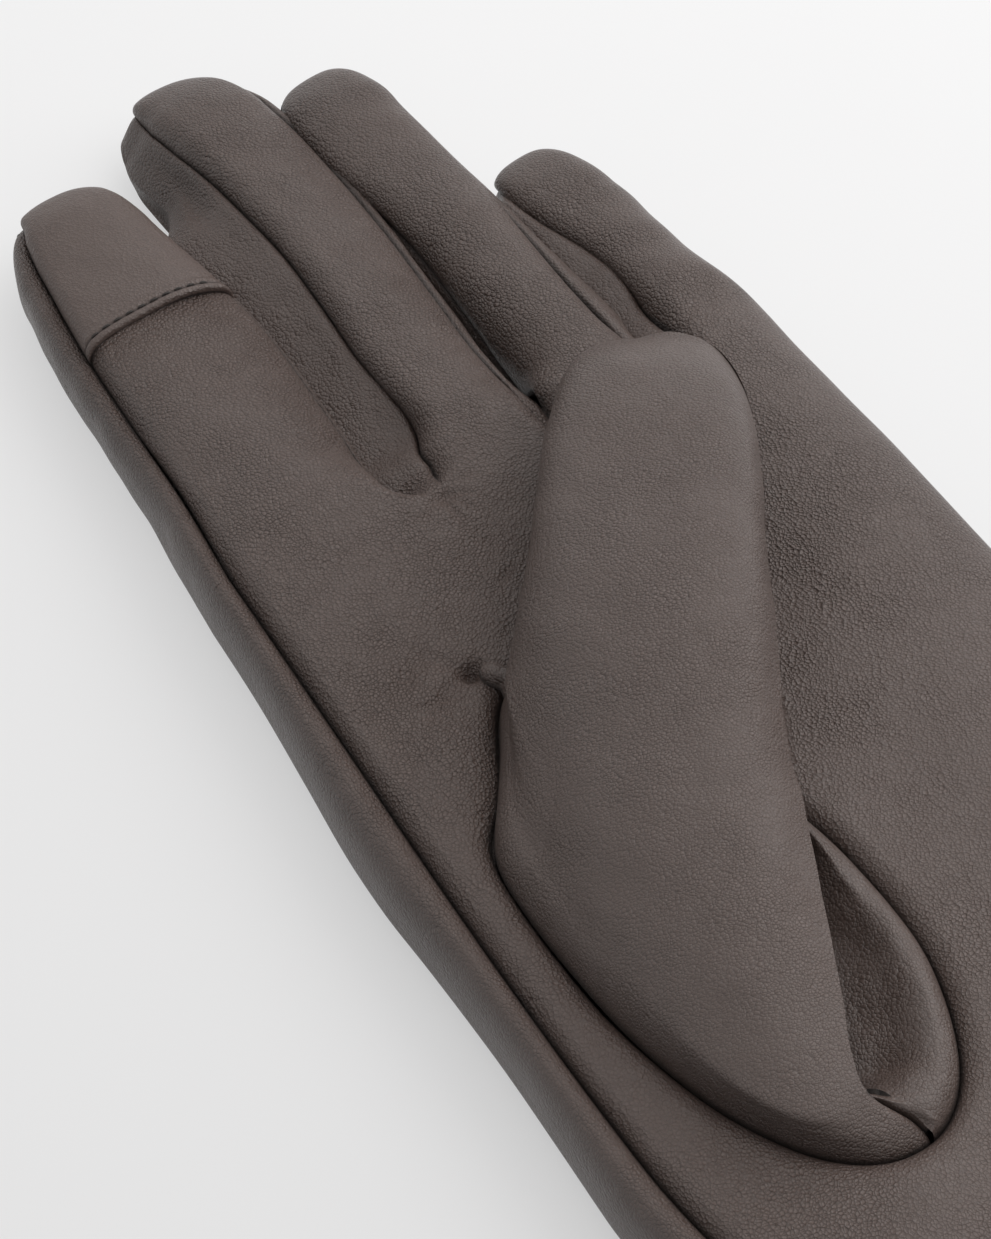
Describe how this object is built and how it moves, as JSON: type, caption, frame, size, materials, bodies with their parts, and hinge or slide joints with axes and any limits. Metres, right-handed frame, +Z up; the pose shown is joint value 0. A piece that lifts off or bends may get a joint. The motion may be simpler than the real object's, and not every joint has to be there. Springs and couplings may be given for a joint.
{
  "type": "touchscreen glove",
  "caption": "Left-hand leather glove lying palm up, with fourchettes, set-in thumb, knit lining and a conductive cap on the index fingertip.",
  "frame": {"origin": "on the flat underside that the glove rests on, under the middle of the height of the thumb hole", "axes": "+X across the palm to the little-finger side, +Y to the fingertips, +Z up out of the palm"},
  "size_m": [0.0979, 0.2419, 0.0313],
  "materials": {
    "leather": "soft satin, fine pebble grain",
    "cap_leather": "soft satin, fine pebble grain, conductive",
    "lining": "matte knit",
    "thread": "matte thread"
  },
  "bodies": {
    "hand": {"trank": "leather", "hand_lining": "lining", "wrist_binding": "leather", "wrist_stitching": "thread", "thumb_quirk": "leather"},
    "index": {"index_front": "leather", "index_back": "leather", "index_fourchette": "leather", "index_lining": "lining", "touch_cap": "cap_leather", "touch_cap_stitching": "thread"},
    "middle": {"middle_front": "leather", "middle_back": "leather", "middle_fourchette_index_side": "leather", "middle_fourchette_ring_side": "leather", "middle_lining": "lining"},
    "ring": {"ring_front": "leather", "ring_back": "leather", "ring_fourchette_middle_side": "leather", "ring_fourchette_little_side": "leather", "ring_lining": "lining"},
    "little": {"little_wrap": "leather", "little_fourchette": "leather", "little_lining": "lining"},
    "thumb": {"thumb_front": "leather", "thumb_back": "leather", "thumb_lining": "lining"}
  },
  "joints": [
    {"name": "index_bend", "type": "hinge", "parent": "hand", "child": "index", "pos_m": [0, 0.076, 0.017], "axis": [1, 0, 0], "range_deg": [0, 90]},
    {"name": "middle_bend", "type": "hinge", "parent": "hand", "child": "middle", "pos_m": [0, 0.076, 0.017], "axis": [1, 0, 0], "range_deg": [0, 90]},
    {"name": "ring_bend", "type": "hinge", "parent": "hand", "child": "ring", "pos_m": [0, 0.076, 0.017], "axis": [1, 0, 0], "range_deg": [0, 90]},
    {"name": "little_bend", "type": "hinge", "parent": "hand", "child": "little", "pos_m": [0, 0.076, 0.017], "axis": [1, 0, 0], "range_deg": [0, 90]},
    {"name": "thumb_swing", "type": "hinge", "parent": "hand", "child": "thumb", "pos_m": [-0.039, 0, 0.0168], "axis": [0, -1, 0], "range_deg": [0, 80]}
  ]
}
